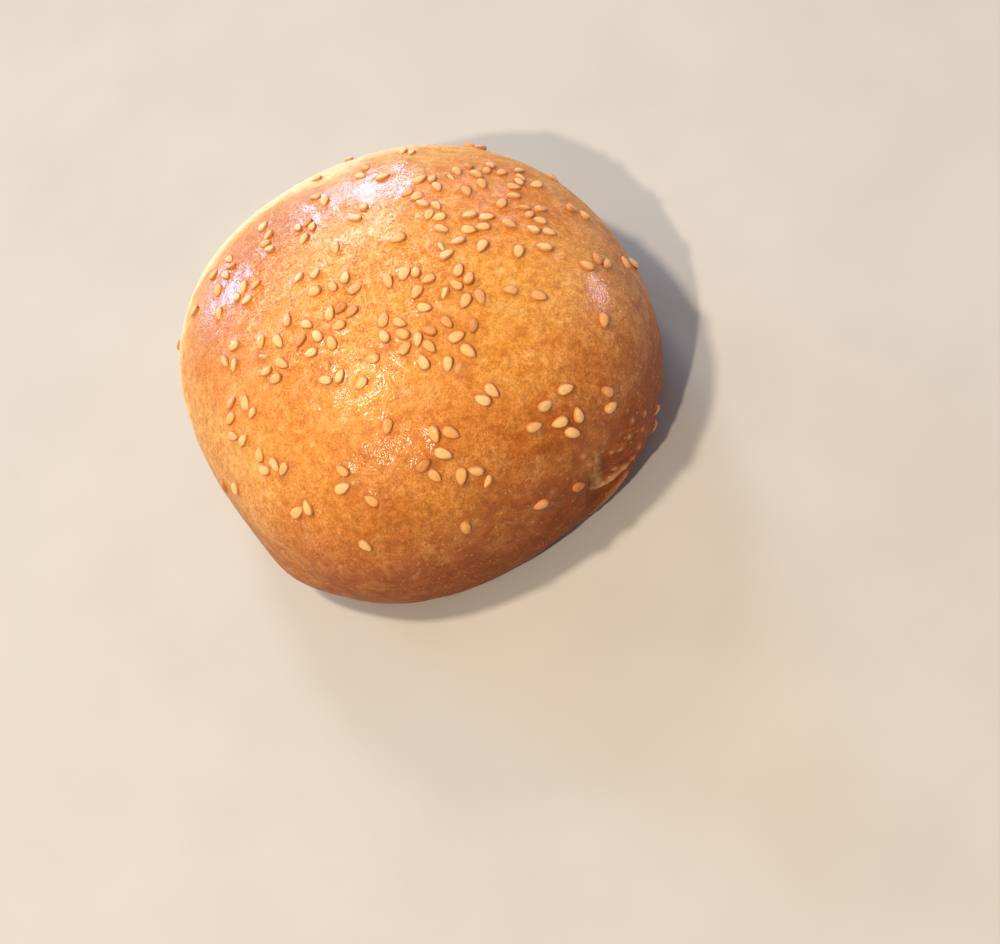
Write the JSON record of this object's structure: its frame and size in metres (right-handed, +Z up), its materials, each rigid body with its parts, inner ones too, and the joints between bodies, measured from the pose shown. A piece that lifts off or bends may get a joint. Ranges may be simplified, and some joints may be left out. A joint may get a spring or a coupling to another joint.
{
  "type": "baked bun",
  "caption": "Round baked bun with a domed golden glazed crust, sesame seeds on its crown, a pinched hollow low on one side and a flat browned base.",
  "frame": {"origin": "middle of the bounding box, on the flat base that the bun rests on", "axes": "+Z up through the crown; -Y is the side nearest the viewer, where the pinched hollow lies towards +X"},
  "size_m": [0.0889, 0.0903, 0.049],
  "materials": {
    "crust": "golden brown egg-washed crust, satin to glossy on the crown",
    "sesame": "toasted sesame seed, slightly oily"
  },
  "bodies": {
    "root": {"bun": "crust"}
  },
  "joints": []
}
